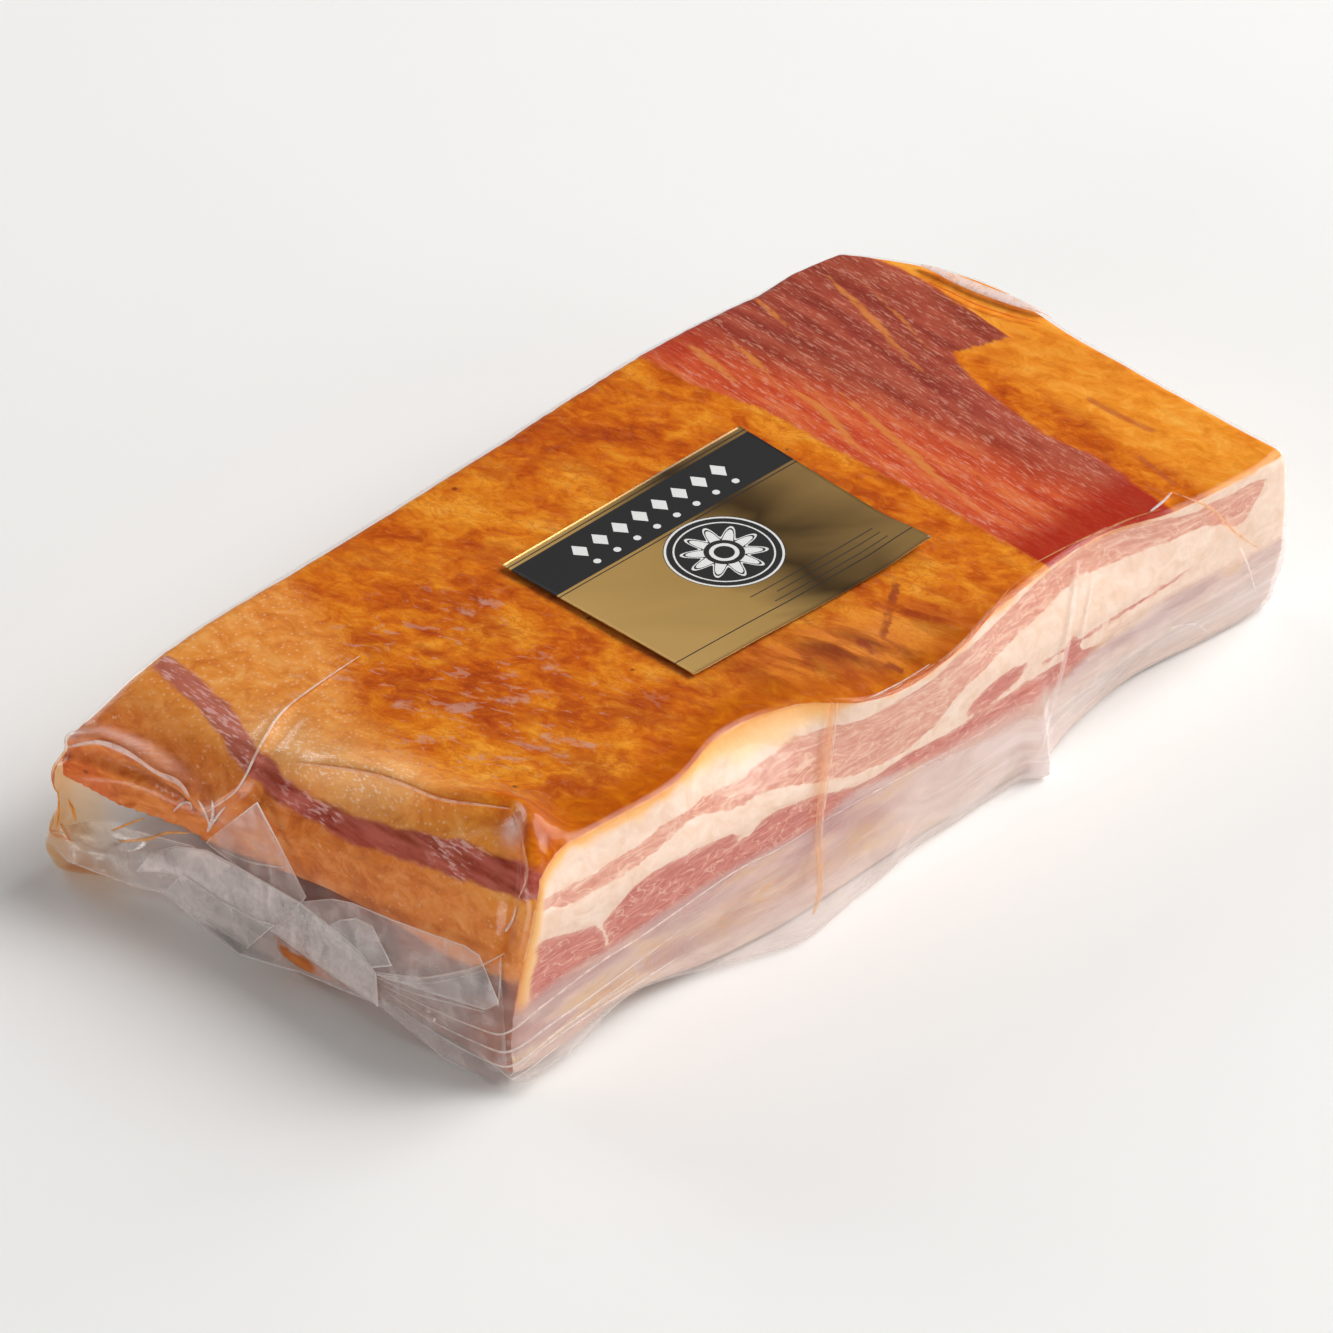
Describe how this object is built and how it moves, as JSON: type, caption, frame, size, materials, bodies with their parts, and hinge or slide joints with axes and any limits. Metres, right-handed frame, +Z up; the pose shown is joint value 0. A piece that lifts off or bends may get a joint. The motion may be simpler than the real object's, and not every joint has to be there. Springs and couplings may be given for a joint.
{
  "type": "bacon pack",
  "caption": "Slab of smoked bacon sealed in clear shrink film, layered cut face, folded film tail at one end and a plain foil label on top.",
  "frame": {"origin": "on the surface the pack lies on, under the middle of its bounding box", "axes": "+X along the slab towards the end with the square cut, +Y towards the back, +Z up; the layered cut face looks towards -Y and the folded film tail is at -X"},
  "size_m": [0.2722, 0.1406, 0.0524],
  "materials": {
    "sealed_bacon": "amber smoked rind with a dark red lean band, cream fat and pink lean layers at the cut side, wet gloss under film",
    "clear_film": "thin clear shrink film, glossy, milky where it hangs loose or is folded",
    "foil_label": "satin gold foil with black printed fields, no lettering"
  },
  "bodies": {
    "root": {"sealed_pack": "sealed_bacon", "label": "foil_label"}
  },
  "joints": []
}
